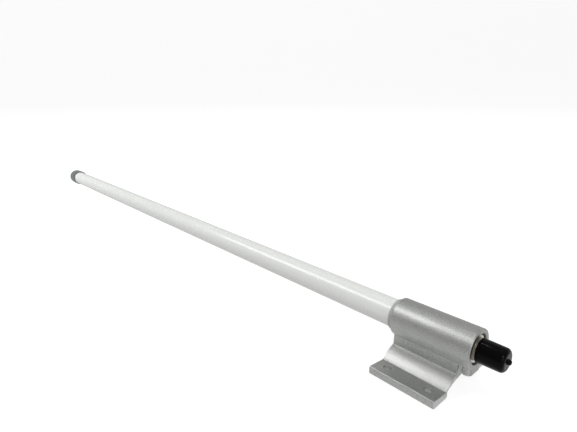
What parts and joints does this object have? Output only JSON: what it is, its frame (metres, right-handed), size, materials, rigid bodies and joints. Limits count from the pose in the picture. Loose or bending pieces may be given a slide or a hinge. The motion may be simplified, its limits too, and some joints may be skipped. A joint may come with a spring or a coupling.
{
  "type": "omnidirectional antenna",
  "caption": "Slim white fibreglass omnidirectional antenna with a winged aluminium mast bracket, a type N socket under a soft dust cap and a capped tip.",
  "frame": {"origin": "middle of the bounding box's underside, in the plane of the bracket's two feet", "axes": "+X along the antenna toward its connector, +Y across the bracket, +Z from the feet up to the antenna's axis"},
  "size_m": [0.9168, 0.082, 0.052],
  "materials": {
    "blasted_aluminium": "fine bead-blasted clear anodised extrusion, machined edges slightly brighter",
    "white_fibreglass": "smooth satin-gloss white coated fibreglass tube",
    "grey_polymer": "light grey moulded bushing",
    "slate_plastic": "semi-matt blue-grey moulded cap",
    "nickel_plate": "warm satin nickel plating on machined brass",
    "ptfe": "waxy white PTFE",
    "gold_plate": "gold-plated contact",
    "black_rubber": "matt black O-ring rubber",
    "black_vinyl": "dipped black vinyl, soft gloss with small highlights",
    "copper": "bare copper, slightly tarnished",
    "brass": "drawn brass tube and rod",
    "spacer_foam": "closed-cell off-white foam"
  },
  "bodies": {
    "antenna": {"base_extrusion": "blasted_aluminium", "radome_tube": "white_fibreglass", "radome_bushing": "grey_polymer", "tip_cap": "slate_plastic", "tip_foam_plug": "spacer_foam", "connector_body": "nickel_plate", "connector_insulator": "ptfe", "connector_contact": "gold_plate", "connector_oring": "black_rubber", "connector_washer": "nickel_plate", "connector_nut": "nickel_plate", "feed_outer_conductor": "copper", "feed_dielectric": "ptfe", "feed_core": "copper", "choke_sleeve": "brass", "choke_end_disc": "brass", "lower_radiator": "brass", "middle_radiator": "brass", "upper_radiator": "brass", "lower_coil": "copper", "upper_coil": "copper", "lower_coil_former": "ptfe", "upper_coil_former": "ptfe", "foam_spacer_1": "spacer_foam", "foam_spacer_2": "spacer_foam", "foam_spacer_3": "spacer_foam", "foam_spacer_4": "spacer_foam", "foam_spacer_5": "spacer_foam"},
    "dust_cap": {"dust_cap": "black_vinyl"}
  },
  "joints": [
    {"name": "dust_cap_pull", "type": "slide", "parent": "antenna", "child": "dust_cap", "axis": [1, 0, 0], "range_m": [0, 0.03]}
  ]
}
